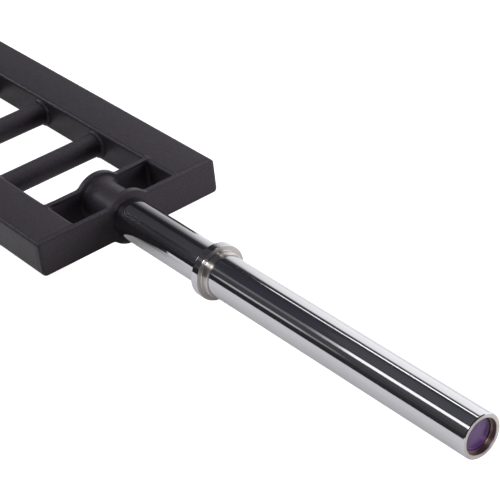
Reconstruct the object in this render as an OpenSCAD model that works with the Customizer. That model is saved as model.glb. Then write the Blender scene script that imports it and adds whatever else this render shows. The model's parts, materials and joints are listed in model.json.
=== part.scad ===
// Multi-grip triceps bar: a welded ladder frame with a rotating loading sleeve at each end.
// Millimetres. X runs along the bar, Y across the two rails, Z up. The origin is the bar's centre.

/* [Rails] */
// Overall width of the frame, across both rails
frame_w = 253; // [235:1:280]
// Width of each rail
rail_w = 56; // [45:1:60]
// Height of each rail
rail_h = 44; // [38:1:50]
// Wall thickness of the rails
rail_wall = 3; // [2:0.5:4]
// Rounding of the rails' long edges
rail_edge_r = 5; // [3:0.5:7]

/* [Grips] */
// Distance from one grip's centre to the next
grip_pitch = 122; // [100:1:140]
// Outer diameter of the grip tubes
grip_d = 30; // [25:0.5:34]
// Wall thickness of the grip tubes
grip_wall = 3; // [2:0.5:5]
// Distance from the last grip's centre to the inner plate
grip_to_plate = 104; // [80:1:130]
// Leg of the weld ring round each end of a grip
grip_weld_leg = 3.5; // [2:0.5:5]

/* [End plates] */
// Thickness of the two plates across each end
plate_t = 8; // [6:0.5:10]
// Clear gap between the inner and the outer plate
plate_gap = 52.5; // [40:0.5:70]
// Radius of the round lobes on the plates' top and bottom edges
lobe_r = 34; // [31:0.5:38]
// Radius that blends each lobe into the straight edge
lobe_blend_r = 8; // [4:0.5:12]
// Leg of the corner welds between the plates and the rails
corner_weld_leg = 5; // [3:0.5:7]

/* [Spindle bosses] */
// Diameter of the boss at its waist
boss_d = 50; // [44:1:52]
// How far the boss flares out where it is welded to the plates
boss_flare = 5; // [2:0.5:6]
// Length of each flare along the boss
boss_flare_l = 12; // [8:1:18]

/* [Spindles] */
// Diameter of the fixed spindles that carry the sleeves
spindle_d = 30; // [26:1:32]
// Radial clearance of the spindle in the plates and the boss
spindle_fit = 0.05; // [0.02:0.01:0.1]
// Clear space between the spindle's tip and the end cap
tip_space = 4; // [2:0.5:10]
// Distance from the spindle's tip to its retaining ring
ring_inset = 4; // [3:0.5:8]
// Thickness of the spindle's retaining ring
spindle_ring_t = 1.5; // [1:0.1:2.5]
// Depth of the retaining ring's groove in the spindle
spindle_groove = 0.9; // [0.6:0.1:1.4]
// Radial width of the retaining ring
spindle_ring_w = 3.6; // [2.5:0.1:4]
// Opening between the ends of the retaining ring
spindle_ring_gap = 7; // [4:0.5:10]
// Thickness of the washer behind the retaining ring
end_washer_t = 2.5; // [1.5:0.1:4]
// Thickness of the thrust washer against the outer plate
thrust_washer_t = 2.2; // [1.5:0.1:4]
// Chamfer round the washers
washer_chamfer = 0.3; // [0.1:0.1:0.6]
// Chamfer round the spindle's tip
spindle_chamfer = 0.8; // [0.4:0.1:2]
// Radial clearance round and inside the washers
washer_fit = 0.4; // [0.2:0.05:0.8]
// End play between the bushes and the washers
end_play = 0.3; // [0.2:0.05:0.6]

/* [Sleeves] */
// Outer diameter of the loading part of the sleeve
sleeve_d = 50; // [48:0.5:51]
// Bore of the sleeve tube
sleeve_bore_d = 40; // [38:0.5:42]
// Distance from the outer plate to the sleeve's tip
sleeve_l = 572.5; // [450:0.5:650]
// Gap between the outer plate and the sleeve tube
sleeve_gap = 0.5; // [0.3:0.1:1]
// How far the rack part is turned down, on the radius, to form the collar's shoulder
seat_step = 0.4; // [0.2:0.05:1]
// Chamfer round the sleeve's tip
tip_chamfer = 1; // [0.5:0.1:2]
// Chamfer at the mouth of the sleeve's bore
mouth_chamfer = 0.6; // [0.3:0.1:1.5]
// Length of each bush
bush_l = 50; // [30:1:80]
// Chamfer round the ends of each bush
bush_chamfer = 0.5; // [0.2:0.1:1]
// Radial running clearance of the bushes on the spindle
bush_fit = 0.05; // [0.02:0.01:0.09]
// Radial clearance of the pieces that are pressed into the sleeve or onto it
press_fit = 0.02; // [0.01:0.01:0.05]

/* [Collars] */
// Distance from the outer plate to the collar
rack_l = 158; // [120:1:200]
// Diameter of the collar's rim
collar_d = 66; // [60:1:80]
// Thickness of the collar's rim
collar_rim_l = 11; // [8:0.5:20]
// Rounding of the rim's edges, cut as a chamfer
collar_chamfer = 0.8; // [0.4:0.1:2]
// Diameter of the collar's hub
collar_hub_d = 54; // [53:0.5:59]
// Length of the hub beyond the rim
collar_hub_l = 8; // [3:0.5:12]
// Length of the taper from the hub down to the sleeve
collar_taper_l = 1; // [0.5:0.5:6]
// Thickness of the collar's lip at the end of the taper, above the sleeve
collar_lip = 0.6; // [0.4:0.1:1.2]

/* [End caps] */
// Depth of the cap's face below the sleeve's tip
cap_recess = 7; // [5:0.5:12]
// Length of the cap along the bore
cap_l = 6; // [5:0.5:12]
// Thickness of the cap's face
cap_face_t = 2.5; // [1.5:0.5:4]
// Wall thickness of the cap's skirt
cap_skirt_t = 2; // [1:0.5:4]
// Thickness of the ring that holds the cap in
cap_ring_t = 1.2; // [0.8:0.1:2]
// How far the cap ring stands inside the bore
cap_ring_lip = 1.3; // [0.8:0.1:3]
// Depth of the cap ring's groove in the sleeve
cap_groove = 0.9; // [0.5:0.1:1.5]

/* [Hidden] */
$fn = 96;

// Colours
powder_black = [0.20, 0.19, 0.21];
chrome_grey = [0.80, 0.81, 0.83];
steel_grey = [0.58, 0.58, 0.60];
bronze = [0.72, 0.52, 0.28];
cap_purple = [0.36, 0.24, 0.50];

// Frame
grip_places = [-2.5, -1.5, -0.5, 0.5, 1.5, 2.5];
end_l = 2 * plate_t + plate_gap;
last_grip_x = max(grip_places) * grip_pitch;
frame_half = last_grip_x + grip_to_plate + end_l;
rail_l = 2 * (frame_half - plate_t);
rail_y = (frame_w - rail_w) / 2;
inner_w = frame_w - 2 * rail_w;
least_bore_r = 0.5;
rail_bore_r = max(rail_edge_r - rail_wall, least_bore_r);
weld_h = rail_h - 2 * rail_edge_r;
arc_steps = 8;
lobe_steps = 32;
cut_past = 0.5;

// Places along a sleeve, measured outwards from the outer plate's outer face
sleeve_r = sleeve_d / 2;
bore_r = sleeve_bore_d / 2;
seat_r = sleeve_r - seat_step;
spindle_r = spindle_d / 2;
collar_l = collar_rim_l + collar_hub_l + collar_taper_l;
shoulder_x = rack_l + collar_l;
cap_face_x = sleeve_l - cap_recess;
spindle_tip_x = cap_face_x - cap_l - tip_space;
ring_x = spindle_tip_x - ring_inset - spindle_ring_t;
end_washer_x = ring_x - end_washer_t;
outer_bush_x = end_washer_x - end_play - bush_l;
inner_bush_x = thrust_washer_t + end_play;
bush_r = bore_r - press_fit;
groove_r = spindle_r - spindle_groove;

// Puts a child at the right end, or at the left end turned half round
module at_end(side) {
    rotate([0, 0, side > 0 ? 0 : 180])
        translate([frame_half, 0, 0])
            children();
}

// Turns a profile of [radius, distance along X] round the bar's axis
module turned(profile) {
    rotate([0, 90, 0])
        rotate_extrude()
            polygon(profile);
}

// Extrudes an outline drawn in Y and Z along X
module along_x(length) {
    rotate([90, 0, 90])
        linear_extrude(length)
            children();
}

module ring(inner_r, outer_r, start_x, length, chamfer) {
    turned([
        [inner_r, start_x],
        [outer_r - chamfer, start_x],
        [outer_r, start_x + chamfer],
        [outer_r, start_x + length - chamfer],
        [outer_r - chamfer, start_x + length],
        [inner_r, start_x + length]
    ]);
}

module round_rectangle(width, height, r) {
    square([width - 2 * r, height], center = true);
    square([width, height - 2 * r], center = true);
    for (side_y = [-1, 1], side_z = [-1, 1])
        translate([side_y * (width / 2 - r), side_z * (height / 2 - r)])
            circle(r);
}

function arc(centre, r, start, end, steps) =
    [for (i = [0 : steps])
        let (angle = start + (end - start) * i / steps)
            centre + r * [cos(angle), sin(angle)]];

// Upper half of a plate's outline: a corner, a blend, the lobe, a blend and a corner
function half_outline(width, corner_r) =
    let (
        blend_z = rail_h / 2 + lobe_blend_r,
        blend_y = sqrt(pow(lobe_r + lobe_blend_r, 2) - pow(blend_z, 2)),
        slope = atan2(blend_z, blend_y),
        corner_y = width / 2 - corner_r,
        corner_z = rail_h / 2 - corner_r
    )
    concat(
        corner_r > 0 ? arc([corner_y, corner_z], corner_r, 0, 90, arc_steps) : [[corner_y, corner_z]],
        arc([blend_y, blend_z], lobe_blend_r, 270, 180 + slope, arc_steps),
        arc([0, 0], lobe_r, slope, 180 - slope, lobe_steps),
        arc([-blend_y, blend_z], lobe_blend_r, -slope, -90, arc_steps),
        corner_r > 0 ? arc([-corner_y, corner_z], corner_r, 90, 180, arc_steps) : [[-corner_y, corner_z]]
    );

// Plate across the frame, with its lobes and the bore for the spindle
module lobed_plate(width, corner_r) {
    upper = half_outline(width, corner_r);
    along_x(plate_t)
        difference() {
            polygon(concat(upper, -upper));
            circle(spindle_r + spindle_fit);
        }
}

module rail(side_y) {
    color(powder_black)
        translate([-rail_l / 2, side_y * rail_y, 0])
            along_x(rail_l)
                difference() {
                    round_rectangle(rail_w, rail_h, rail_edge_r);
                    round_rectangle(rail_w - 2 * rail_wall, rail_h - 2 * rail_wall, rail_bore_r);
                }
}

module outer_plate(side) {
    color(powder_black)
        at_end(side)
            translate([-plate_t, 0, 0])
                lobed_plate(frame_w, rail_edge_r);
}

module inner_plate(side) {
    color(powder_black)
        at_end(side)
            translate([-end_l, 0, 0])
                lobed_plate(inner_w, 0);
}

// Boss between the plates, with a hollow flare at each end where it is welded on
module spindle_boss(side) {
    waist_r = boss_d / 2;
    start_x = -plate_t - plate_gap;
    flare = [for (i = [0 : arc_steps])
        [waist_r + boss_flare * (1 - cos(90 * i / arc_steps)),
         boss_flare_l * (1 - sin(90 * i / arc_steps))]];
    inboard = [for (i = [arc_steps : -1 : 0]) [flare[i][0], start_x + flare[i][1]]];
    outboard = [for (i = [0 : arc_steps]) [flare[i][0], -plate_t - flare[i][1]]];
    color(powder_black)
        at_end(side)
            turned(concat(
                [[spindle_r + spindle_fit, start_x]],
                inboard,
                outboard,
                [[spindle_r + spindle_fit, -plate_t]]
            ));
}

module grip(place) {
    color(powder_black)
        translate([grip_places[place - 1] * grip_pitch, 0, 0])
            rotate([90, 0, 0])
                difference() {
                    cylinder(d = grip_d, h = inner_w, center = true);
                    cylinder(d = grip_d - 2 * grip_wall, h = inner_w + 2 * cut_past, center = true);
                }
}

// Section of a hollow fillet weld in the corner of two square faces
function fillet_points(leg, offset_r) = concat(
    [[offset_r, 0]],
    [for (i = [0 : arc_steps])
        [offset_r + leg - leg * sin(90 * i / arc_steps), leg - leg * cos(90 * i / arc_steps)]]
);

module grip_welds() {
    color(powder_black)
        for (place = grip_places, side_y = [-1, 1])
            translate([place * grip_pitch, side_y * inner_w / 2, 0])
                rotate([side_y * 90, 0, 0])
                    rotate_extrude()
                        polygon(fillet_points(grip_weld_leg, grip_d / 2 + press_fit));
}

module plate_welds(side) {
    color(powder_black)
        at_end(side)
            for (corner = [[-end_l, 1], [-plate_t - plate_gap, 0], [-plate_t, 1]], flip_y = [0, 1])
                mirror([0, flip_y, 0])
                    translate([corner[0], inner_w / 2, 0])
                        mirror([corner[1], 0, 0])
                            rotate([0, 0, -90])
                                linear_extrude(weld_h, center = true)
                                    polygon(fillet_points(corner_weld_leg, 0));
}

module spindle(side) {
    color(steel_grey)
        at_end(side)
            turned([
                [0, -end_l],
                [spindle_r, -end_l],
                [spindle_r, ring_x],
                [groove_r, ring_x],
                [groove_r, ring_x + spindle_ring_t],
                [spindle_r, ring_x + spindle_ring_t],
                [spindle_r, spindle_tip_x - spindle_chamfer],
                [spindle_r - spindle_chamfer, spindle_tip_x],
                [0, spindle_tip_x]
            ]);
}

module thrust_washer(side) {
    color(bronze)
        at_end(side)
            ring(spindle_r + washer_fit, bore_r - washer_fit, 0, thrust_washer_t, washer_chamfer);
}

module end_washer(side) {
    color(steel_grey)
        at_end(side)
            ring(spindle_r + washer_fit, bore_r - washer_fit, end_washer_x, end_washer_t, washer_chamfer);
}

module spindle_ring(side) {
    inner_r = groove_r + press_fit;
    color(steel_grey)
        at_end(side)
            translate([ring_x, 0, 0])
                along_x(spindle_ring_t)
                    difference() {
                        circle(inner_r + spindle_ring_w);
                        circle(inner_r);
                        translate([-spindle_ring_gap / 2, 0])
                            square([spindle_ring_gap, spindle_d]);
                    }
}

// Sleeve tube: rack part, shoulder for the collar, loading part and the groove of the cap ring
module sleeve_tube(side) {
    color(chrome_grey)
        at_end(side)
            turned([
                [bore_r, sleeve_gap],
                [seat_r, sleeve_gap],
                [seat_r, shoulder_x],
                [sleeve_r, shoulder_x],
                [sleeve_r, sleeve_l - tip_chamfer],
                [sleeve_r - tip_chamfer, sleeve_l],
                [bore_r + mouth_chamfer, sleeve_l],
                [bore_r, sleeve_l - mouth_chamfer],
                [bore_r, cap_face_x + cap_ring_t],
                [bore_r + cap_groove, cap_face_x + cap_ring_t],
                [bore_r + cap_groove, cap_face_x],
                [bore_r, cap_face_x]
            ]);
}

module collar(side) {
    collar_bore_r = seat_r + press_fit;
    rim_r = collar_d / 2;
    hub_r = collar_hub_d / 2;
    hub_x = rack_l + collar_rim_l;
    color(chrome_grey)
        at_end(side)
            turned([
                [collar_bore_r, rack_l],
                [rim_r - collar_chamfer, rack_l],
                [rim_r, rack_l + collar_chamfer],
                [rim_r, hub_x - collar_chamfer],
                [rim_r - collar_chamfer, hub_x],
                [hub_r, hub_x],
                [hub_r, hub_x + collar_hub_l],
                [sleeve_r + collar_lip, shoulder_x],
                [collar_bore_r, shoulder_x]
            ]);
}

module inner_bush(side) {
    color(bronze)
        at_end(side)
            ring(spindle_r + bush_fit, bush_r, inner_bush_x, bush_l, bush_chamfer);
}

module outer_bush(side) {
    color(bronze)
        at_end(side)
            ring(spindle_r + bush_fit, bush_r, outer_bush_x, bush_l, bush_chamfer);
}

module end_cap(side) {
    skirt_x = cap_face_x - cap_l;
    color(cap_purple)
        at_end(side)
            turned([
                [0, cap_face_x - cap_face_t],
                [bush_r - cap_skirt_t, cap_face_x - cap_face_t],
                [bush_r - cap_skirt_t, skirt_x],
                [bush_r, skirt_x],
                [bush_r, cap_face_x],
                [0, cap_face_x]
            ]);
}

module cap_ring(side) {
    color(steel_grey)
        at_end(side)
            turned([
                [bore_r - cap_ring_lip, cap_face_x],
                [bore_r + cap_groove - press_fit, cap_face_x],
                [bore_r + cap_groove - press_fit, cap_face_x + cap_ring_t],
                [bore_r - cap_ring_lip, cap_face_x + cap_ring_t]
            ]);
}

rail(-1);  // near_rail
rail(1);  // far_rail
outer_plate(1);  // outer_plate_right
outer_plate(-1);  // outer_plate_left
inner_plate(1);  // inner_plate_right
inner_plate(-1);  // inner_plate_left
spindle_boss(1);  // spindle_boss_right
spindle_boss(-1);  // spindle_boss_left
grip(1);  // grip_1
grip(2);  // grip_2
grip(3);  // grip_3
grip(4);  // grip_4
grip(5);  // grip_5
grip(6);  // grip_6
grip_welds();
plate_welds(1);  // plate_welds_right
plate_welds(-1);  // plate_welds_left
spindle(1);  // spindle_right
spindle(-1);  // spindle_left
thrust_washer(1);  // thrust_washer_right
thrust_washer(-1);  // thrust_washer_left
end_washer(1);  // end_washer_right
end_washer(-1);  // end_washer_left
spindle_ring(1);  // spindle_ring_right
spindle_ring(-1);  // spindle_ring_left
sleeve_tube(1);  // sleeve_tube_right
sleeve_tube(-1);  // sleeve_tube_left
collar(1);  // collar_right
collar(-1);  // collar_left
inner_bush(1);  // inner_bush_right
inner_bush(-1);  // inner_bush_left
outer_bush(1);  // outer_bush_right
outer_bush(-1);  // outer_bush_left
end_cap(1);  // end_cap_right
end_cap(-1);  // end_cap_left
cap_ring(1);  // cap_ring_right
cap_ring(-1);  // cap_ring_left
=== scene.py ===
"""Multi-grip triceps bar: powder-coated ladder frame with chrome loading sleeves."""
import json
import math

import bmesh
import bpy
from mathutils import Matrix, Vector, noise

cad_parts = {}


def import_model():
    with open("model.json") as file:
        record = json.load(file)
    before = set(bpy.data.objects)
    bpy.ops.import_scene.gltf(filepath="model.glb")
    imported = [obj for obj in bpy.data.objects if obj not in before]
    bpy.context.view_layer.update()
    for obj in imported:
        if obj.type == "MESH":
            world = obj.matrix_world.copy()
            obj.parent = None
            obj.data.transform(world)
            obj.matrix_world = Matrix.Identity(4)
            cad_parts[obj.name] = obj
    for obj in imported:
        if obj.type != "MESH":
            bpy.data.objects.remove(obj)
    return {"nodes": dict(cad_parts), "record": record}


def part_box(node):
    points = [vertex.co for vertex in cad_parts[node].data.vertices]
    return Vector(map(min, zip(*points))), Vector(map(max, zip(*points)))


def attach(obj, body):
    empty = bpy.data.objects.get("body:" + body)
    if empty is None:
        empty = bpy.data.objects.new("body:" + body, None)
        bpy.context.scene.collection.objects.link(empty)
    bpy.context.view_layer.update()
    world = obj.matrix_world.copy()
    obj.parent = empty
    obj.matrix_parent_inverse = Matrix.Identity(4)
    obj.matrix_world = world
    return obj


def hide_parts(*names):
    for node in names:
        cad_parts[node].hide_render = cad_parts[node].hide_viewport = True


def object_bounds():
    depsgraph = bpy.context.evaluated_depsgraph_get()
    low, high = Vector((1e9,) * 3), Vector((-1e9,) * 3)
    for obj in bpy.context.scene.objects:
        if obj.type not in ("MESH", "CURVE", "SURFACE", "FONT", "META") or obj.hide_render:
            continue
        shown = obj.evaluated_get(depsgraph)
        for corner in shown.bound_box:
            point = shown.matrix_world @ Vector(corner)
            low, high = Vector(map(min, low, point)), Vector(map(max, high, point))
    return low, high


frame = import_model()
cad_low, cad_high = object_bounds()

MM = 0.001
NODES = frame["nodes"]
SIDES = {"right": 1, "left": -1}
GRIP_COUNT = 6
HALF_TURN = 180

# Gaps and steps between pieces that fit each other, as in the part
PRESS_GAP = 0.02 * MM
SPINDLE_GAP = 0.05 * MM
SEAT_STEP = 0.4 * MM

# Sizes read from the frame, in metres
PLATE_LOW, PLATE_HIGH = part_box("outer_plate_right")
INNER_LOW, INNER_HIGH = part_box("inner_plate_right")
RAIL_LOW, RAIL_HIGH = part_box("far_rail")
TUBE_LOW, TUBE_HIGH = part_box("sleeve_tube_right")
COLLAR_LOW, COLLAR_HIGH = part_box("collar_right")
CAP_LOW, CAP_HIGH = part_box("end_cap_right")
RING_LOW, RING_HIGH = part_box("cap_ring_right")
BOSS_LOW, BOSS_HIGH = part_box("spindle_boss_right")
SPINDLE_LOW, SPINDLE_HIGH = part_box("spindle_right")
SPINDLE_RING_LOW, SPINDLE_RING_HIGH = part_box("spindle_ring_right")

HALF_WIDTH = PLATE_HIGH.y
INNER_HALF = INNER_HIGH.y
RAIL_TOP = RAIL_HIGH.z
LOBE_R = PLATE_HIGH.z
SLEEVE_R = TUBE_HIGH.z
SEAT_R = SLEEVE_R - SEAT_STEP
BORE_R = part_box("outer_bush_right")[1].z + PRESS_GAP
SPINDLE_R = SPINDLE_HIGH.z
SPINDLE_BORE_R = SPINDLE_R + SPINDLE_GAP
GRIP_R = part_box("grip_6")[1].z

# Shape details that the boxes don't give, as in the part
RAIL_EDGE_R = 5 * MM
LOBE_BLEND_R = 8 * MM
BOSS_WAIST_R = 25 * MM
BOSS_FLARE_L = 12 * MM
SPINDLE_GROOVE = 0.9 * MM
SPINDLE_CHAMFER = 0.8 * MM
TIP_CHAMFER = 1.0 * MM
COLLAR_RIM_L = 11 * MM
COLLAR_HUB_R = 27 * MM
COLLAR_HUB_L = 8 * MM
CAP_SKIRT = 2 * MM
CAP_FACE_T = 2.5 * MM
CAP_RING_WIDTH = 1.3 * MM

# Fine shape that the part leaves to this script
PLATE_EDGE_R = 1.5 * MM
PLATE_SIDE_EDGE_R = 4.2 * MM
PLATE_BACK_EDGE_R = 0.6 * MM
PLATE_EDGE_FLAT = 0.6 * MM
INNER_PLATE_CORNER_R = 0.2 * MM
RAIL_END_EASE = 0.5 * MM
COLLAR_TOE = 0.6 * MM
HUB_ROOT_R = 1.0 * MM
HUB_ROOT_L = 1.1 * MM
CAP_DISH = 0.35 * MM
CAP_DISH_R = 15.6 * MM
CAP_RIM_R = 16.3 * MM

# Where a turned piece changes its finish: how squarely a face points along the bar, to the tip or back,
# and how far round the sleeve's mouth the bore's finish reaches
FACING_OUT = 0.9
FACING_BACK = 0.2
MOUTH_EDGE = 0.5 * MM

# Weld beads: legs, lengths, how far they sink into the metal, and how a grip's bead varies round it
GRIP_BEAD_LEG = 4.1 * MM
GRIP_BEAD_UNEVEN = 0.05
GRIP_BEAD_LUMPS = 3
GRIP_BEAD_SEED = 3.1
GRIP_BEAD_HOLLOW = 0.10
GRIP_BEAD_SINK = 0.3 * MM
CORNER_BEAD_LEG = 4.3 * MM
CORNER_BEAD_SHORT = 1.2 * MM
CORNER_BEAD_SINK = 0.2 * MM
NOTCH_LEG = 3.5 * MM
NOTCH_SINK = 0.4 * MM
OUTER_NOTCH_L = 1 * MM
FLARE_BEAD_L = 7 * MM
FLARE_BEAD_R = 28 * MM
FLARE_BEAD_START = 0.01 * MM

# Weld ripples: distance along the bead from one to the next, and depth
GRIP_RIPPLE = (2.6 * MM, 0.14 * MM)
CORNER_RIPPLE = (3.0 * MM, 0.16 * MM)
FLARE_RIPPLE = (3.2 * MM, 0.16 * MM)
# Their wandering: its rate, its place in the noise, how far it shifts a ripple, and the shares of the
# ripple's even scallop and of the wandering in its height
WANDER_RATE = 0.9
WANDER_SEED = 3e4
WANDER_PLANE = 4.7
WANDER_SHIFT = 0.25
SCALLOP_SHARE = 0.6
WANDER_SHARE = 0.8

# Steps round turned pieces, round arcs and along beads
SLEEVE_ROUND = 256
CAP_RING_ROUND = 192
BOSS_ROUND = 180
SPINDLE_ROUND = 128
CAP_ROUND = 128
CORNER_ARC_STEPS = 6
EDGE_STEPS = 5
CORNER_STEPS = 10
BLEND_STEPS = 12
LOBE_STEPS = 48
HOLE_STEPS = 96
FLARE_STEPS = 14
GRIP_BEAD_ROUND = 120
GRIP_BEAD_ACROSS = 8
CORNER_BEAD_ROWS = 40
CORNER_BEAD_ACROSS = 7
NOTCH_ALONG = 16
NOTCH_ACROSS = 8

# Rounded corners: the most of a side and of an arc's reach that they use, and the distance from the arc
# to the point that keeps the flat beside it flat
MOST_OF_SIDE = 0.45
MOST_SUPPORT = 0.3
CORNER_SUPPORT = 0.25 * MM
CAP_SUPPORT = 0.1 * MM

# Degrees between faces that make a sharp edge, and distances that count as none
SHARP_ANGLE = 32
FLARE_SHARP_ANGLE = 50
BEAD_SHARP_ANGLE = 60
ON_AXIS = 1e-7
SAME_PLACE = 1e-6

# Finishes, as linear colours
POWDER_BLACK = (0.0232, 0.0190, 0.0214)
POWDER_SPECULAR = 0.20
POWDER_GLOSS = (1, 0.90, 0.95, 1)
CHROME_TINT = (0.425, 0.420, 0.432)
# The faced chrome is warmer than the chrome: partly the metal's own colour, partly a painted warm
# reflection
FACED_TINT_AND_WARM_REFLECTION = (0.460, 0.430, 0.404)
STEEL_GREY = (0.46, 0.455, 0.45)
DARK_STEEL = (0.31, 0.25, 0.21)
BRONZE = (0.50, 0.33, 0.16)
CAP_PURPLE = (0.059, 0.016, 0.085)

# The floor reaches far behind the bar and ends a little in front of it
FLOOR_PALE = (0.40, 0.384, 0.361)
FLOOR_REACH = 60
FLOOR_NEAR_EDGE = 0.60
FLOOR_DROP = 0.1 * MM
# Its glow in soft light, as the camera sees it, and added in mirrors, dimmed by painted shade this close
# to the bar
FLOOR_GLOW = 0.04
FLOOR_SEEN_GLOW = 0.97
FLOOR_MIRRORED_GLOW = 0.66
FLOOR_PAINTED_SHADE_REACH = 0.07

# Camera at the photograph's viewing angle: its place, view, upward direction and lens
CAMERA_AT = Vector((2.0380, -0.9444, 1.1273))
CAMERA_VIEW = Vector((-0.68220, 0.48406, -0.54799))
CAMERA_UP = Vector((-0.37709, 0.40917, 0.83089))
SENSOR_MM = 36
LENS_MM = 132.4

# Sockets of a colour mix node, which share their names with others: its two inputs and its output
MIX_FIRST = 6
MIX_SECOND = 7
MIX_COLOUR = 2

# Surroundings: degrees round the bar from the far side, brightness, and how much bluer it is
SURROUNDINGS = [
    (0, 0.10, 0.2), (51, 0.10, 0.2), (62, 0.06, 0.2), (70, 0.065, 0.2),
    (95, 0.085, 0.3), (118, 0.085, 0.3), (124, 0.07, 0.2), (134, 0.07, 0.2),
    (137, 0.17, 0.1), (140, 0.10, 0.1), (148, 0.13, 0.1), (152, 0.08, 0.1),
    (162, 0.10, 0.1), (165, 0.055, 0.1), (175, 0.05, 0.1), (180, 0.04, 0.1),
]
# Colour of the bright far side, which fills the surroundings up to its upper edge
FAR_SIDE = (1.74, 1.75, 1.78)
# Degrees of that edge, by how much a direction points along the bar, to either end
FAR_EDGE = [
    (0, 49.5), (0.56, 49.5), (0.60, 48.5), (0.65, 47), (0.67, 45), (0.70, 35), (0.72, 29), (1, 28),
]
# Degrees by which the edge is lower towards the right end
FRONT_EDGE_DROP = [(0.30, 0), (0.46, 22)]
# Degrees over which the edge fades, by how much a direction points along the bar
FAR_SOFTNESS = [(0, 3.5), (0.67, 3.5), (0.70, 15), (0.72, 22), (1, 22)]
# Share of all that brightness that is left, by how much a direction points along the bar
LEANING = [
    (0, 1.2), (0.5, 1.15), (0.58, 1.05), (0.667, 0.94),
    (0.70, 0.66), (0.712, 0.48), (0.74, 0.44), (1, 0.3),
]

# Long softboxes that only mirrors see: start and end along the bar, degrees round it, width, brightness
STRIP_REACH = 1.1
STRIPS = {
    "upper_strip": (0.00, 0.90, 127.2, 0.22, 2.3),
    "upper_strip_middle": (-0.07, 0.00, 127.5, 0.20, 0.8),
    "upper_strip_tail": (-0.42, -0.07, 127.5, 0.20, 0.21),
    "rear_strip": (-2.40, -0.78, 130, 0.40, 8.0),
    "front_strip": (0.90, 2.10, 128, 0.24, 11.0),
    "lower_strip": (-0.36, -0.10, 157, 0.15, 0.80),
    "lower_strip_tail": (-0.10, 0.00, 157, 0.13, 0.35),
    "far_strip": (0.00, 1.40, 62.9, 0.085, 3.3),
    "far_strip_tail": (-0.24, 0.00, 64, 0.075, 2.6),
    "ceiling_panel": (-0.05, 1.40, 96, 0.80, 0.05),
    "ceiling_panel_tail": (-0.90, -0.40, 98, 0.90, 0.05),
}
# Soft lights that mirrors don't see: direction, degrees across, and energy
SOFT_COLOUR = (0.91, 0.97, 1.13)
SOFT_LIGHTS = {
    "soft_key": ((-0.60, -0.15, 0.90), 70, 3.75),
    "far_fill": ((0.84, 0.58, 0.14), 28, 3.7),
}


def new_material(name):
    made = bpy.data.materials.new(name)
    made.use_nodes = True
    return made, made.node_tree.nodes, made.node_tree.links, made.node_tree.nodes["Principled BSDF"]


def add(nodes, kind, **values):
    """Adds a shader node, with its settings or its inputs set by name."""
    node = nodes.new(kind)
    for key, value in values.items():
        label = key.replace("_", " ").title()
        if hasattr(node, key):
            setattr(node, key, value)
        else:
            node.inputs[label].default_value = value
    return node


def maths(nodes, links, operation, first, second=None):
    """Adds a maths node on one or two outputs."""
    made = add(nodes, "ShaderNodeMath", operation=operation)
    links.new(first, made.inputs[0])
    if second is not None:
        links.new(second, made.inputs[1])
    return made.outputs["Value"]


def grain(nodes, links, scale, stretch=(1, 1, 1), detail=3.0, roughness=0.55):
    """Noise in the object's own coordinates, stretched along its axes."""
    where = nodes.new("ShaderNodeTexCoord")
    mapping = nodes.new("ShaderNodeMapping")
    mapping.inputs["Scale"].default_value = stretch
    texture = add(nodes, "ShaderNodeTexNoise", scale=scale, detail=detail, roughness=roughness)
    links.new(where.outputs["Object"], mapping.inputs["Vector"])
    links.new(mapping.outputs["Vector"], texture.inputs["Vector"])
    return texture.outputs["Fac"]


def ramp(nodes, links, factor, stops):
    """Colour ramp with a (place, colour) at each stop."""
    made = nodes.new("ShaderNodeValToRGB")
    made.color_ramp.elements[0].position = stops[0][0]
    made.color_ramp.elements[0].color = stops[0][1]
    made.color_ramp.elements[1].position = stops[-1][0]
    made.color_ramp.elements[1].color = stops[-1][1]
    for place, colour in stops[1:-1]:
        made.color_ramp.elements.new(place).color = colour
    links.new(factor, made.inputs["Fac"])
    return made.outputs["Color"]


def grey_ramp(nodes, links, factor, stops, whole=1):
    """Ramp of numbers, each divided by the whole that it is a share of."""
    greys = [(place, (value / whole, value / whole, value / whole, 1)) for place, value in stops]
    return ramp(nodes, links, factor, greys)


def shade(colour, factor):
    return (*(channel * factor for channel in colour), 1)


def tinted(nodes, links, factor, tint, darkest, lightest, between=(0.3, 0.7)):
    """Colour from a darker to a lighter shade of a tint, between two values of the factor."""
    low, high = between
    return ramp(nodes, links, factor, [(low, shade(tint, darkest)), (high, shade(tint, lightest))])


def spread(nodes, links, factor, low, high):
    """Maps a factor of 0 to 1 onto low to high."""
    made = nodes.new("ShaderNodeMapRange")
    made.inputs["To Min"].default_value = low
    made.inputs["To Max"].default_value = high
    links.new(factor, made.inputs["Value"])
    return made.outputs["Result"]


def bump(nodes, links, heights, shader):
    """Chains bumps of (height, strength, distance) into the shader's normal."""
    last = None
    for height, strength, distance in heights:
        made = nodes.new("ShaderNodeBump")
        made.inputs["Strength"].default_value = strength
        made.inputs["Distance"].default_value = distance
        links.new(height, made.inputs["Height"])
        if last:
            links.new(last, made.inputs["Normal"])
        last = made.outputs["Normal"]
    links.new(last, shader.inputs["Normal"])


def powder_coat():
    """Satin black powder coat: a fine orange peel over faint mottling."""
    made, nodes, links, shader = new_material("powder_coat_satin")
    mottle = grain(nodes, links, scale=26, detail=4)
    peel = grain(nodes, links, scale=480, detail=4)
    speck = grain(nodes, links, scale=4200, detail=1)
    colour = tinted(nodes, links, peel, POWDER_BLACK, darkest=0.75, lightest=1.25, between=(0.32, 0.68))
    links.new(colour, shader.inputs["Base Color"])
    links.new(spread(nodes, links, mottle, low=0.34, high=0.50), shader.inputs["Roughness"])
    shader.inputs["Specular IOR Level"].default_value = POWDER_SPECULAR
    shader.inputs["Specular Tint"].default_value = POWDER_GLOSS
    bump(nodes, links, [(peel, 0.5, 0.35 * MM), (speck, 0.25, 0.10 * MM)], shader)
    return made


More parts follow.
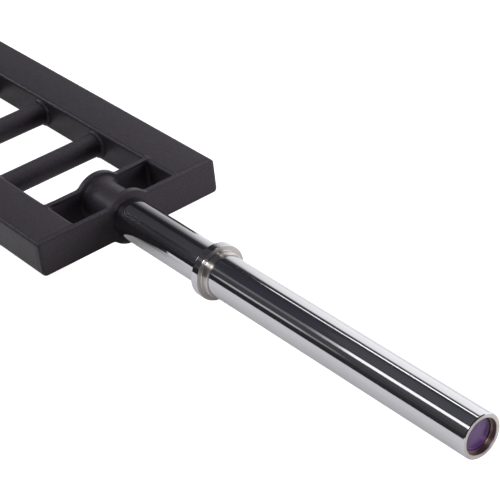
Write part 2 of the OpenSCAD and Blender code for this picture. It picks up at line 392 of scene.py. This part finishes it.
def chrome():
    """Bright chrome with the faintest haze and a slow waviness of the tube."""
    made, nodes, links, shader = new_material("chrome_bright")
    haze = grain(nodes, links, scale=14, detail=6)
    wave = grain(nodes, links, scale=1, stretch=(14, 40, 40), detail=1)
    colour = tinted(nodes, links, haze, CHROME_TINT, darkest=0.97, lightest=1.03)
    links.new(colour, shader.inputs["Base Color"])
    shader.inputs["Metallic"].default_value = 1
    links.new(spread(nodes, links, haze, low=0.045, high=0.115), shader.inputs["Roughness"])
    bump(nodes, links, [(wave, 0.10, 0.10 * MM)], shader)
    return made


def turned_metal(name, tint, roughness):
    """Turned metal with its tool lines running round the bar."""
    made, nodes, links, shader = new_material(name)
    haze = grain(nodes, links, scale=60, detail=5)
    lines = grain(nodes, links, scale=1, stretch=(2200, 90, 90), detail=3)
    colour = tinted(nodes, links, haze, tint, darkest=0.86, lightest=1.1)
    links.new(colour, shader.inputs["Base Color"])
    shader.inputs["Metallic"].default_value = 1
    smooth = spread(nodes, links, lines, low=roughness - 0.06, high=roughness + 0.08)
    links.new(smooth, shader.inputs["Roughness"])
    bump(nodes, links, [(lines, 0.25, 0.04 * MM)], shader)
    return made


def faced_chrome_warm_reflection():
    """Chrome over a face cut on a lathe: its rings stretch each reflection outwards from the axis. Its
    warm tint is partly the metal's own colour and partly a painted warm reflection.
    """
    made, nodes, links, shader = new_material("chrome_faced_warm_reflection")
    haze = grain(nodes, links, scale=60, detail=5)
    colour = tinted(nodes, links, haze, FACED_TINT_AND_WARM_REFLECTION, darkest=0.90, lightest=1.08)
    links.new(colour, shader.inputs["Base Color"])
    links.new(spread(nodes, links, haze, low=0.29, high=0.37), shader.inputs["Roughness"])
    shader.inputs["Metallic"].default_value = 1
    shader.inputs["Anisotropic"].default_value = 0.95
    shader.inputs["Anisotropic Rotation"].default_value = 0.25
    rings = nodes.new("ShaderNodeTangent")
    rings.direction_type = "RADIAL"
    rings.axis = "X"
    links.new(rings.outputs["Tangent"], shader.inputs["Tangent"])
    return made


def cap_finish():
    """Dark purple face with a soft gloss and a fine grain."""
    made, nodes, links, shader = new_material("cap_purple_gloss")
    cloud = grain(nodes, links, scale=160, detail=4)
    fine = grain(nodes, links, scale=2400, detail=2)
    colour = tinted(nodes, links, cloud, CAP_PURPLE, darkest=0.72, lightest=1.28)
    links.new(colour, shader.inputs["Base Color"])
    links.new(spread(nodes, links, fine, low=0.16, high=0.30), shader.inputs["Roughness"])
    bump(nodes, links, [(fine, 0.10, 0.05 * MM)], shader)
    return made


def pale_floor():
    """Matt floor that looks white to the camera, with painted shade close under the bar in what mirrors
    it.
    """
    made, nodes, links, shader = new_material("floor_pale")
    tone = grain(nodes, links, scale=0.6, detail=2)
    colour = tinted(nodes, links, tone, FLOOR_PALE, darkest=0.99, lightest=1.01)
    links.new(colour, shader.inputs["Base Color"])
    shader.inputs["Roughness"].default_value = 0.9
    shader.inputs["Specular IOR Level"].default_value = 0
    shader.inputs["Emission Color"].default_value = (1, 1, 1, 1)
    path = nodes.new("ShaderNodeLightPath")
    # Painted shade: ambient occlusion dims the floor's mirrored glow close under the bar
    painted_shade_share = add(nodes, "ShaderNodeAmbientOcclusion", distance=FLOOR_PAINTED_SHADE_REACH)
    seen = spread(nodes, links, path.outputs["Is Camera Ray"], low=FLOOR_GLOW, high=FLOOR_SEEN_GLOW)
    mirrored = spread(nodes, links, path.outputs["Is Glossy Ray"], low=0, high=FLOOR_MIRRORED_GLOW)
    mirrored_with_painted_shade = maths(nodes, links, "MULTIPLY", mirrored, painted_shade_share.outputs["AO"])
    links.new(maths(nodes, links, "ADD", seen, mirrored_with_painted_shade), shader.inputs["Emission Strength"])
    return made


FINISH = {
    "powder_coat": powder_coat(),
    "chrome": chrome(),
    "steel": turned_metal("steel_turned", STEEL_GREY, roughness=0.28),
    "bronze": turned_metal("bronze_oiled", BRONZE, roughness=0.34),
    "cap": cap_finish(),
}
FACED_CHROME_WARM_REFLECTION = faced_chrome_warm_reflection()
OXIDE_STEEL = turned_metal("steel_oxide", DARK_STEEL, roughness=0.36)


def piece(name, mesh, body, slot, replaced, sharp_angle=SHARP_ANGLE):
    """Makes a shown piece from a bmesh, with its finish, its body and the nodes that it replaces."""
    bmesh.ops.recalc_face_normals(mesh, faces=mesh.faces)
    data = bpy.data.meshes.new(name)
    mesh.to_mesh(data)
    mesh.free()
    data.shade_smooth()
    data.set_sharp_from_angle(angle=math.radians(sharp_angle))
    data.materials.append(FINISH[slot])
    made = bpy.data.objects.new(name, data)
    bpy.context.scene.collection.objects.link(made)
    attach(made, body)
    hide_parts(*replaced)
    return made


def refinish(made, finish, wanted):
    """Gives a piece's faces another finish where wanted(centre, normal) is true."""
    made.data.materials.append(finish)
    number = len(made.data.materials) - 1
    for face in made.data.polygons:
        if wanted(face.center, face.normal):
            face.material_index = number


def round_corners(points, radii, steps=CORNER_ARC_STEPS, support=CORNER_SUPPORT):
    """Rounds a closed profile's corners with arcs, and keeps a point just off each arc."""
    made = []
    for i, (point, radius) in enumerate(zip(points, radii)):
        here = Vector(point)
        if radius <= 0:
            made.append(here)
            continue
        back = Vector(points[i - 1]) - here
        ahead = Vector(points[(i + 1) % len(points)]) - here
        half = back.angle(ahead) / 2
        reach = min(radius / math.tan(half), MOST_OF_SIDE * back.length, MOST_OF_SIDE * ahead.length)
        arc_r = reach * math.tan(half)
        back.normalize()
        ahead.normalize()
        centre = here + (back + ahead).normalized() * math.hypot(reach, arc_r)
        start = here + back * reach - centre
        end = here + ahead * reach - centre
        turn = math.atan2(start.x * end.y - start.y * end.x, start.dot(end))
        extra = min(support, MOST_SUPPORT * reach)
        made.append(here + back * (reach + extra))
        for k in range(steps + 1):
            angle = turn * k / steps
            made.append(centre + Vector((start.x * math.cos(angle) - start.y * math.sin(angle),
                                         start.x * math.sin(angle) + start.y * math.cos(angle))))
        made.append(here + ahead * (reach + extra))
    return made


def lathe(profile, segments, side, wobble=None):
    """Turns a closed profile of (radius, distance along X) round the bar's axis."""
    mesh = bmesh.new()
    rings = []
    for radius, along in profile:
        if radius < ON_AXIS:
            rings.append([mesh.verts.new((side * along, 0, 0))])
            continue
        ring = []
        for k in range(segments):
            angle = 2 * math.pi * k / segments
            out = radius + (wobble(angle, along) if wobble else 0)
            place = (side * along, side * out * math.cos(angle), out * math.sin(angle))
            ring.append(mesh.verts.new(place))
        rings.append(ring)
    for low, high in zip(rings, rings[1:] + rings[:1]):
        if len(low) == 1 and len(high) == 1:
            continue
        for k in range(segments):
            n = (k + 1) % segments
            first = [low[k], low[n]] if len(low) > 1 else low
            second = [high[n], high[k]] if len(high) > 1 else high
            mesh.faces.new(first + second)
    return mesh


def loft(mesh, rings, closed=True):
    """Joins each closed ring of vertices to the next one, and fills both ends if they are closed."""
    for low, high in zip(rings, rings[1:]):
        for k in range(len(low)):
            n = (k + 1) % len(low)
            mesh.faces.new((low[k], low[n], high[n], high[k]))
    if closed:
        mesh.faces.new(rings[0])
        mesh.faces.new(rings[-1])


def arc_points(centre, radius, start, end, steps):
    """Points and outward directions along an arc, in degrees. A negative radius is a hollow arc."""
    made = []
    for k in range(steps + 1):
        angle = math.radians(start + (end - start) * k / steps)
        direction = Vector((math.cos(angle), math.sin(angle)))
        made.append((Vector(centre) + direction * abs(radius), direction if radius > 0 else -direction))
    return made


def plate_outline(half_width, corner_r):
    """Outline of a lobed plate in Y and Z, with an outward direction at each point."""
    blend_z = RAIL_TOP + LOBE_BLEND_R
    blend_y = math.sqrt((LOBE_R + LOBE_BLEND_R) ** 2 - blend_z ** 2)
    slope = math.degrees(math.atan2(blend_z, blend_y))
    corner = (half_width - corner_r, RAIL_TOP - corner_r)
    upper = arc_points(corner, corner_r, 0, 90, CORNER_STEPS)
    upper += arc_points((blend_y, blend_z), -LOBE_BLEND_R, 270, 180 + slope, BLEND_STEPS)
    upper += arc_points((0, 0), LOBE_R, slope, 180 - slope, LOBE_STEPS)[1:-1]
    upper += arc_points((-blend_y, blend_z), -LOBE_BLEND_R, -slope, -90, BLEND_STEPS)
    upper += arc_points((-corner[0], corner[1]), corner_r, 90, 180, CORNER_STEPS)
    return upper + [(-point, -direction) for point, direction in upper]


def edge_rows(low_x, high_x, edge_low, edge_high):
    """Rows of (inset, distance along X) from one face of a plate round its edges to the other face."""
    rows = []
    for edge_r, face_x, inwards in ((edge_low, low_x, 1), (edge_high, high_x, -1)):
        part = [(edge_r + PLATE_EDGE_FLAT, face_x)]
        for k in range(EDGE_STEPS + 1):
            angle = math.pi / 2 * k / EDGE_STEPS
            inset = edge_r * (1 - math.sin(angle))
            part.append((inset, face_x + inwards * edge_r * (1 - math.cos(angle))))
        part.append((0, face_x + inwards * (edge_r + PLATE_EDGE_FLAT)))
        rows += part[::inwards]
    return rows


def plate_mesh(outline, low_x, high_x, edge_low, edge_high, side_edge):
    """Plate with rounded edges and a bore, from an outline in Y and Z, with its own edge at the sides."""
    most = side_edge / edge_high
    middle = (low_x + high_x) / 2
    mesh = bmesh.new()
    rings = []
    for inset, along in edge_rows(low_x, high_x, edge_low, edge_high):
        ring = []
        for point, direction in outline:
            grown = 1
            if along > middle and abs(point.x) > LOBE_R + 2 * LOBE_BLEND_R:
                grown += (most - 1) * abs(direction.x)
            place = high_x - (high_x - along) * grown if along > middle else along
            ring.append(mesh.verts.new((place, *(point - direction * inset * grown))))
        rings.append(ring)
    loft(mesh, rings, closed=False)
    turns = [2 * math.pi * k / HOLE_STEPS for k in range(HOLE_STEPS)]
    holes = [[mesh.verts.new((along, SPINDLE_BORE_R * math.cos(angle), SPINDLE_BORE_R * math.sin(angle)))
              for angle in turns] for along in (low_x, high_x)]
    loft(mesh, holes, closed=False)
    mesh.edges.ensure_lookup_table()
    for ring, hole in ((rings[0], holes[0]), (rings[-1], holes[1])):
        edges = [mesh.edges.get((loop[k], loop[(k + 1) % len(loop)])) for loop in (ring, hole)
                 for k in range(len(loop))]
        bmesh.ops.triangle_fill(mesh, edges=edges, use_beauty=True, use_dissolve=False)
    return mesh


def turn_to(mesh, side):
    """Turns a mesh made for the right end to the left end."""
    if side < 0:
        bmesh.ops.rotate(mesh, verts=mesh.verts, matrix=Matrix.Rotation(math.pi, 3, "Z"))
    return mesh


def ripple(place, step, depth):
    """Height of weld ripples at a distance along the bead."""
    phase = place / step
    wander = noise.noise(Vector((phase * WANDER_RATE, depth * WANDER_SEED, WANDER_PLANE)))
    scallop = abs(math.sin(math.pi * (phase + WANDER_SHIFT * wander)))
    return depth * (SCALLOP_SHARE * scallop + WANDER_SHARE * wander)


def rail(name, side_y):
    """Soft rail with slightly eased ends, a closed box section."""
    half = (RAIL_HIGH.y - RAIL_LOW.y) / 2
    centre_y = side_y * (RAIL_HIGH.y + RAIL_LOW.y) / 2
    outline = []
    for corner_y, corner_z, start in ((1, 1, 0), (-1, 1, 90), (-1, -1, 180), (1, -1, 270)):
        corner = (corner_y * (half - RAIL_EDGE_R), corner_z * (RAIL_TOP - RAIL_EDGE_R))
        outline += arc_points(corner, RAIL_EDGE_R, start, start + 90, CORNER_STEPS)
    end, ease = RAIL_HIGH.x, RAIL_END_EASE
    rows = [(ease, -end), (0, -end + ease), (0, -end + 3 * ease),
            (0, end - 3 * ease), (0, end - ease), (ease, end)]
    mesh = bmesh.new()
    rings = [[mesh.verts.new((along, point.x - out.x * inset + centre_y, point.y - out.y * inset))
              for point, out in outline] for inset, along in rows]
    loft(mesh, rings)
    piece(f"{name}_skin", mesh, "frame", "powder_coat", [name])


def end_plates(label, side):
    """Outer and inner plate of one end."""
    outer = plate_mesh(plate_outline(HALF_WIDTH, RAIL_EDGE_R), PLATE_LOW.x, PLATE_HIGH.x,
                       PLATE_BACK_EDGE_R, PLATE_EDGE_R, PLATE_SIDE_EDGE_R)
    piece(f"outer_plate_{label}_skin", turn_to(outer, side), "frame", "powder_coat",
          [f"outer_plate_{label}"])
    inner = plate_mesh(plate_outline(INNER_HALF, INNER_PLATE_CORNER_R), INNER_LOW.x, INNER_HIGH.x,
                       PLATE_EDGE_R, PLATE_EDGE_R, PLATE_EDGE_R)
    piece(f"inner_plate_{label}_skin", turn_to(inner, side), "frame", "powder_coat",
          [f"inner_plate_{label}"])


def boss(label, side):
    """Boss with its hollow flares, and a rippled bead where each flare meets its plate."""
    low, high = BOSS_LOW.x, BOSS_HIGH.x
    flare = BOSS_HIGH.z - BOSS_WAIST_R
    rise = []
    for k in range(FLARE_STEPS + 1):
        angle = math.pi / 2 * k / FLARE_STEPS
        rise.append((BOSS_WAIST_R + flare * (1 - math.cos(angle)), BOSS_FLARE_L * (1 - math.sin(angle))))
    profile = [(SPINDLE_BORE_R, low)]
    profile += [(radius, low + inwards) for radius, inwards in reversed(rise)]
    profile += [(radius, high - inwards) for radius, inwards in rise]
    profile += [(SPINDLE_BORE_R, high)]

    def wobble(angle, along):
        near = min(along - low, high - along)
        if near > FLARE_BEAD_L or near < FLARE_BEAD_START:
            return 0
        fade = math.sin(math.pi * (near / FLARE_BEAD_L))
        return -fade * ripple(angle * FLARE_BEAD_R, *FLARE_RIPPLE)

    mesh = lathe(profile, BOSS_ROUND, side, wobble)
    piece(f"spindle_boss_{label}_skin", mesh, "frame", "powder_coat", [f"spindle_boss_{label}"],
          FLARE_SHARP_ANGLE)


def grip_bead(mesh, centre_x, side_y, seed):
    """Rippled weld ring round one end of a grip."""
    grid = []
    for i in range(GRIP_BEAD_ROUND):
        angle = 2 * math.pi * i / GRIP_BEAD_ROUND
        spot = Vector((GRIP_BEAD_LUMPS * math.cos(angle), GRIP_BEAD_LUMPS * math.sin(angle), seed))
        leg = GRIP_BEAD_LEG * (1 + GRIP_BEAD_UNEVEN * noise.noise(spot))
        leg += ripple(angle * GRIP_R + seed, *GRIP_RIPPLE)
        row = [(GRIP_R - GRIP_BEAD_SINK, leg)]
        for k in range(GRIP_BEAD_ACROSS + 1):
            lean = math.pi / 2 * k / GRIP_BEAD_ACROSS
            bulge = 1 - GRIP_BEAD_HOLLOW * math.sin(2 * lean)
            row.append((GRIP_R + leg * math.sin(lean) * bulge, leg * math.cos(lean) * bulge))
        row += [(GRIP_R + leg, 0), (GRIP_R - GRIP_BEAD_SINK, 0)]
        grid.append([mesh.verts.new((centre_x + radius * math.cos(angle), side_y * (INNER_HALF - inwards),
                                     radius * math.sin(angle))) for radius, inwards in row])
    for i, here in enumerate(grid):
        ahead = grid[(i + 1) % GRIP_BEAD_ROUND]
        for k in range(len(here)):
            n = (k + 1) % len(here)
            mesh.faces.new((here[k], ahead[k], ahead[n], here[n]))


def grip_beads():
    """Weld rings round both ends of every grip, as one piece."""
    mesh = bmesh.new()
    for number in range(1, GRIP_COUNT + 1):
        low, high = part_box(f"grip_{number}")
        for side_y in (1, -1):
            grip_bead(mesh, (low.x + high.x) / 2, side_y, number * GRIP_BEAD_SEED + side_y)
    bmesh.ops.remove_doubles(mesh, verts=mesh.verts, dist=SAME_PLACE)
    piece("grip_weld_beads", mesh, "frame", "powder_coat", ["grip_welds"], BEAD_SHARP_ANGLE)


def corner_bead(mesh, corner_x, direction_x, side_y, seed):
    """Rippled fillet up the corner between a plate and a rail."""
    half = RAIL_TOP - CORNER_BEAD_SHORT
    grid = []
    for i in range(CORNER_BEAD_ROWS + 1):
        z = -half + 2 * half * i / CORNER_BEAD_ROWS
        over = max(abs(z) - (RAIL_TOP - RAIL_EDGE_R), 0)
        away = RAIL_EDGE_R - math.sqrt(max(RAIL_EDGE_R ** 2 - over ** 2, 0))
        leg = CORNER_BEAD_LEG + ripple(z + seed, *CORNER_RIPPLE)
        row = [(-CORNER_BEAD_SINK, -away - CORNER_BEAD_SINK)]
        for k in range(CORNER_BEAD_ACROSS + 1):
            lean = math.pi / 2 * k / CORNER_BEAD_ACROSS
            row.append((leg * (1 - math.sin(lean)), (leg + away) * (1 - math.cos(lean)) - away))
        grid.append([mesh.verts.new((corner_x + direction_x * x, side_y * (INNER_HALF - y), z))
                     for x, y in row])
    loft(mesh, grid)


def notch_fill(mesh, low_x, high_x, side_y, side_z):
    """Weld that fills the rail's rounded edge where the end of a plate meets it."""
    start, end = low_x - NOTCH_LEG, high_x + NOTCH_LEG
    grid = []
    for i in range(NOTCH_ALONG + 1):
        x = start + (end - start) * i / NOTCH_ALONG
        past = max(low_x - x, x - high_x, 0) / NOTCH_LEG
        keep = max((1 - past) ** 2, 0)
        outer, inner = [], []
        for k in range(NOTCH_ACROSS + 1):
            t = k / NOTCH_ACROSS
            angle = math.pi / 2 * (1 + t)
            round_y = INNER_HALF + RAIL_EDGE_R + RAIL_EDGE_R * math.cos(angle)
            round_z = RAIL_TOP - RAIL_EDGE_R + RAIL_EDGE_R * math.sin(angle)
            square_y = INNER_HALF + RAIL_EDGE_R * max(1 - 2 * t, 0)
            square_z = RAIL_TOP - RAIL_EDGE_R * max(2 * t - 1, 0)
            outer.append((round_y + keep * (square_y - round_y), round_z + keep * (square_z - round_z)))
            inner.append((round_y + NOTCH_SINK * (1 - t), round_z - NOTCH_SINK))
        ring = outer + inner[::-1]
        grid.append([mesh.verts.new((x, side_y * y, side_z * z)) for y, z in ring])
    loft(mesh, grid)


def plate_beads(label, side):
    """All the corner welds of one end, as one piece."""
    # Place along the bar, direction away from the plate, and where the ripples start
    corners = ((INNER_LOW.x, -1, 0.011), (INNER_HIGH.x, 1, 0.023), (PLATE_LOW.x, -1, 0.037))
    notches = ((INNER_LOW.x, INNER_HIGH.x), (PLATE_LOW.x, PLATE_LOW.x + OUTER_NOTCH_L))
    mesh = bmesh.new()
    for side_y in (1, -1):
        for corner_x, direction_x, seed in corners:
            corner_bead(mesh, corner_x, direction_x, side_y, seed)
        for side_z in (1, -1):
            for low_x, high_x in notches:
                notch_fill(mesh, low_x, high_x, side_y, side_z)
    piece(f"plate_weld_beads_{label}", turn_to(mesh, side), "frame", "powder_coat",
          [f"plate_welds_{label}"], BEAD_SHARP_ANGLE)


def spindle(label, side):
    """Spindle: bare steel, with its faces that point back into the frame coated like the frame."""
    low, high = SPINDLE_LOW.x, SPINDLE_HIGH.x
    ring_low, ring_high = SPINDLE_RING_LOW.x, SPINDLE_RING_HIGH.x
    groove = SPINDLE_R - SPINDLE_GROOVE
    points = [(0, low), (SPINDLE_R, low), (SPINDLE_R, ring_low), (groove, ring_low), (groove, ring_high),
              (SPINDLE_R, ring_high), (SPINDLE_R, high - SPINDLE_CHAMFER),
              (SPINDLE_R - SPINDLE_CHAMFER, high), (0, high)]
    radii = [0, 0.4 * MM, 0, 0, 0, 0, 0.2 * MM, 0.2 * MM, 0]
    mesh = lathe(round_corners(points, radii), SPINDLE_ROUND, side)
    made = piece(f"spindle_{label}_skin", mesh, "frame", "steel", [f"spindle_{label}"])
    refinish(made, FINISH["powder_coat"], lambda at, normal: side * normal.x < -FACING_BACK)


def sleeve(label, side):
    """Sleeve tube with its turned-down rack part, and its mouth."""
    shoulder = COLLAR_HIGH.x
    groove = RING_HIGH.z
    start, tip = TUBE_LOW.x, TUBE_HIGH.x
    points = [(BORE_R, start), (SEAT_R, start), (SEAT_R, shoulder), (SLEEVE_R, shoulder),
              (SLEEVE_R, tip - TIP_CHAMFER), (SLEEVE_R - TIP_CHAMFER, tip),
              (BORE_R, tip), (BORE_R, RING_HIGH.x), (groove, RING_HIGH.x), (groove, RING_LOW.x),
              (BORE_R, RING_LOW.x)]
    radii = [0.3 * MM, 0.3 * MM, 0, 0.2 * MM, 0.3 * MM, 0.2 * MM, 0.7 * MM, 0, 0, 0, 0]
    mesh = lathe(round_corners(points, radii), SLEEVE_ROUND, side)
    made = piece(f"sleeve_tube_{label}_skin", mesh, f"{label}_sleeve", "chrome", [f"sleeve_tube_{label}"])
    refinish(made, FACED_CHROME_WARM_REFLECTION, lambda at, normal: side * normal.x > FACING_OUT)
    refinish(made, OXIDE_STEEL, lambda at, normal: math.hypot(at.y, at.z) < BORE_R + MOUTH_EDGE)


def collar(label, side):
    """Collar: rim, hub and the taper down to the sleeve."""
    bore = SEAT_R + PRESS_GAP
    rim = COLLAR_HIGH.z
    low, high = COLLAR_LOW.x, COLLAR_HIGH.x
    hub_x = low + COLLAR_RIM_L
    points = [(bore, low), (rim, low), (rim, hub_x), (COLLAR_HUB_R, hub_x),
              (COLLAR_HUB_R, hub_x + COLLAR_HUB_L), (SLEEVE_R + COLLAR_TOE, high), (bore, high)]
    radii = [0.4 * MM, 0.9 * MM, 0.7 * MM, HUB_ROOT_R, 0.6 * MM, 0.2 * MM, 0.1 * MM]
    mesh = lathe(round_corners(points, radii), SLEEVE_ROUND, side)
    made = piece(f"collar_{label}_skin", mesh, f"{label}_sleeve", "chrome", [f"collar_{label}"])
    refinish(made, FACED_CHROME_WARM_REFLECTION, lambda at, normal: side * normal.x > FACING_OUT)
    refinish(made, FACED_CHROME_WARM_REFLECTION, lambda at, normal: side * at.x > hub_x + HUB_ROOT_L)


def end_cap(label, side):
    """Bare purple cap: a shallow dished face inside a raised rim."""
    face, back, out = CAP_HIGH.x, CAP_LOW.x, CAP_HIGH.z
    inner = out - CAP_SKIRT
    points = [(0, face - CAP_DISH), (CAP_DISH_R, face - CAP_DISH), (CAP_RIM_R, face), (out, face),
              (out, back), (inner, back), (inner, face - CAP_FACE_T), (0, face - CAP_FACE_T)]
    radii = [0, 0.5 * MM, 0.3 * MM, 0.4 * MM, 0.3 * MM, 0.3 * MM, 0.3 * MM, 0]
    mesh = lathe(round_corners(points, radii, support=CAP_SUPPORT), CAP_ROUND, side)
    piece(f"end_cap_{label}_skin", mesh, f"{label}_sleeve", "cap", [f"end_cap_{label}"])


def cap_ring(label, side):
    """Retaining ring in the sleeve's mouth, with eased edges."""
    low, high = RING_LOW.x, RING_HIGH.x
    lip, root = BORE_R - CAP_RING_WIDTH, RING_HIGH.z - PRESS_GAP
    points = [(lip, low), (root, low), (root, high), (lip, high)]
    radii = [0.3 * MM, 0.1 * MM, 0.1 * MM, 0.3 * MM]
    mesh = lathe(round_corners(points, radii), CAP_RING_ROUND, side)
    made = piece(f"cap_ring_{label}_skin", mesh, f"{label}_sleeve", "steel", [f"cap_ring_{label}"])
    refinish(made, OXIDE_STEEL, lambda at, normal: True)


def dress_nodes():
    """Gives each CAD node that stays its own finish."""
    slots = {part["node"]: part["material_slot"] for part in frame["record"]["subparts"]}
    for name, node in NODES.items():
        node.data.materials.clear()
        node.data.materials.append(FINISH[slots[name]])


def lay_floor():
    """Pale floor just under the bar."""
    mesh = bmesh.new()
    bmesh.ops.create_grid(mesh, x_segments=1, y_segments=1, size=FLOOR_REACH)
    data = bpy.data.meshes.new("floor")
    mesh.to_mesh(data)
    mesh.free()
    data.materials.append(pale_floor())
    floor = bpy.data.objects.new("floor", data)
    floor.location = (0, FLOOR_REACH - FLOOR_NEAR_EDGE, cad_low.z - FLOOR_DROP)
    bpy.context.scene.collection.objects.link(floor)


def soft_light(name, direction, across, energy):
    """Soft light from one direction, which mirrors don't see."""
    light = bpy.data.lights.new(name, "SUN")
    light.energy = energy
    light.color = SOFT_COLOUR
    light.angle = math.radians(across)
    lamp = bpy.data.objects.new(name, light)
    lamp.rotation_euler = Vector(direction).to_track_quat("Z", "Y").to_euler()
    lamp.visible_glossy = False
    bpy.context.scene.collection.objects.link(lamp)


def strip(name, start_x, end_x, degrees, width, brightness):
    """Long narrow softbox that faces the bar, at an angle round it, and which only mirrors see."""
    length = end_x - start_x
    light = bpy.data.lights.new(name, "AREA")
    light.shape = "RECTANGLE"
    light.size = length
    light.size_y = width
    light.energy = brightness * math.pi * length * width
    angle = math.radians(degrees)
    outwards = Vector((0, math.cos(angle), math.sin(angle)))
    lamp = bpy.data.objects.new(name, light)
    lamp.location = Vector(((start_x + end_x) / 2, 0, 0)) + outwards * STRIP_REACH
    turn = Matrix.Identity(3)
    turn.col[0] = Vector((1, 0, 0))
    turn.col[2] = outwards
    turn.col[1] = turn.col[2].cross(turn.col[0])
    lamp.rotation_euler = turn.to_euler()
    lamp.visible_diffuse = False
    bpy.context.scene.collection.objects.link(lamp)


def far_side_share(nodes, links, turned, leaning, to_right):
    """Share of the bright far side in a direction: 1 well below its upper edge and 0 above it."""
    edge = grey_ramp(nodes, links, leaning, FAR_EDGE, HALF_TURN)
    drop = grey_ramp(nodes, links, to_right, FRONT_EDGE_DROP, HALF_TURN)
    below = maths(nodes, links, "SUBTRACT", maths(nodes, links, "SUBTRACT", edge, drop), turned)
    softness = grey_ramp(nodes, links, leaning, FAR_SOFTNESS, HALF_TURN)
    inside = nodes.new("ShaderNodeMapRange")
    inside.inputs["From Min"].default_value = -1
    links.new(maths(nodes, links, "DIVIDE", below, softness), inside.inputs["Value"])
    return inside.outputs["Result"]


def surroundings(nodes, links):
    """Colour of the surroundings by their angle round the bar, dimmed towards its ends."""
    where = nodes.new("ShaderNodeTexCoord")
    split = nodes.new("ShaderNodeSeparateXYZ")
    links.new(where.outputs["Generated"], split.inputs["Vector"])
    radians = maths(nodes, links, "ARCTAN2", split.outputs["Z"], split.outputs["Y"])
    turned = nodes.new("ShaderNodeMapRange")
    turned.inputs["From Max"].default_value = math.pi
    links.new(maths(nodes, links, "ABSOLUTE", radians), turned.inputs["Value"])
    leaning = maths(nodes, links, "ABSOLUTE", split.outputs["X"])
    stops = [(degrees / HALF_TURN, (grey, grey, grey * (1 + blue), 1))
             for degrees, grey, blue in SURROUNDINGS]
    near_side = ramp(nodes, links, turned.outputs["Result"], stops)
    share = far_side_share(nodes, links, turned.outputs["Result"], leaning, split.outputs["X"])
    both = add(nodes, "ShaderNodeMix", data_type="RGBA")
    links.new(share, both.inputs["Factor"])
    links.new(near_side, both.inputs[MIX_FIRST])
    both.inputs[MIX_SECOND].default_value = (*FAR_SIDE, 1)
    dimmed = add(nodes, "ShaderNodeVectorMath", operation="MULTIPLY")
    links.new(both.outputs[MIX_COLOUR], dimmed.inputs[0])
    links.new(grey_ramp(nodes, links, leaning, LEANING), dimmed.inputs[1])
    return dimmed.outputs["Vector"]


def world():
    """White where the camera sees it, and the surroundings for all else."""
    made = bpy.data.worlds.new("studio_world")
    made.use_nodes = True
    nodes, links = made.node_tree.nodes, made.node_tree.links
    nodes.clear()
    reflected = nodes.new("ShaderNodeBackground")
    links.new(surroundings(nodes, links), reflected.inputs["Color"])
    seen = nodes.new("ShaderNodeBackground")
    seen.inputs["Color"].default_value = (1, 1, 1, 1)
    path = nodes.new("ShaderNodeLightPath")
    mix = nodes.new("ShaderNodeMixShader")
    output = nodes.new("ShaderNodeOutputWorld")
    links.new(path.outputs["Is Camera Ray"], mix.inputs["Fac"])
    links.new(reflected.outputs["Background"], mix.inputs[1])
    links.new(seen.outputs["Background"], mix.inputs[2])
    links.new(mix.outputs["Shader"], output.inputs["Surface"])
    bpy.context.scene.world = made
    bpy.context.scene.view_settings.view_transform = "Standard"


def camera():
    data = bpy.data.cameras.new("camera")
    data.sensor_width = SENSOR_MM
    data.lens = LENS_MM
    made = bpy.data.objects.new("camera", data)
    turn = Matrix.Identity(3)
    turn.col[2] = -CAMERA_VIEW.normalized()
    turn.col[0] = CAMERA_VIEW.cross(CAMERA_UP).normalized()
    turn.col[1] = turn.col[2].cross(turn.col[0])
    made.matrix_world = Matrix.Translation(CAMERA_AT) @ turn.to_4x4()
    bpy.context.scene.collection.objects.link(made)
    bpy.context.scene.camera = made


camera()
dress_nodes()
rail("near_rail", -1)
rail("far_rail", 1)
grip_beads()
for end_name, end_side in SIDES.items():
    end_plates(end_name, end_side)
    boss(end_name, end_side)
    plate_beads(end_name, end_side)
    spindle(end_name, end_side)
    sleeve(end_name, end_side)
    collar(end_name, end_side)
    end_cap(end_name, end_side)
    cap_ring(end_name, end_side)
lay_floor()
for light_name, light_values in SOFT_LIGHTS.items():
    soft_light(light_name, *light_values)
for strip_name, strip_values in STRIPS.items():
    strip(strip_name, *strip_values)
world()
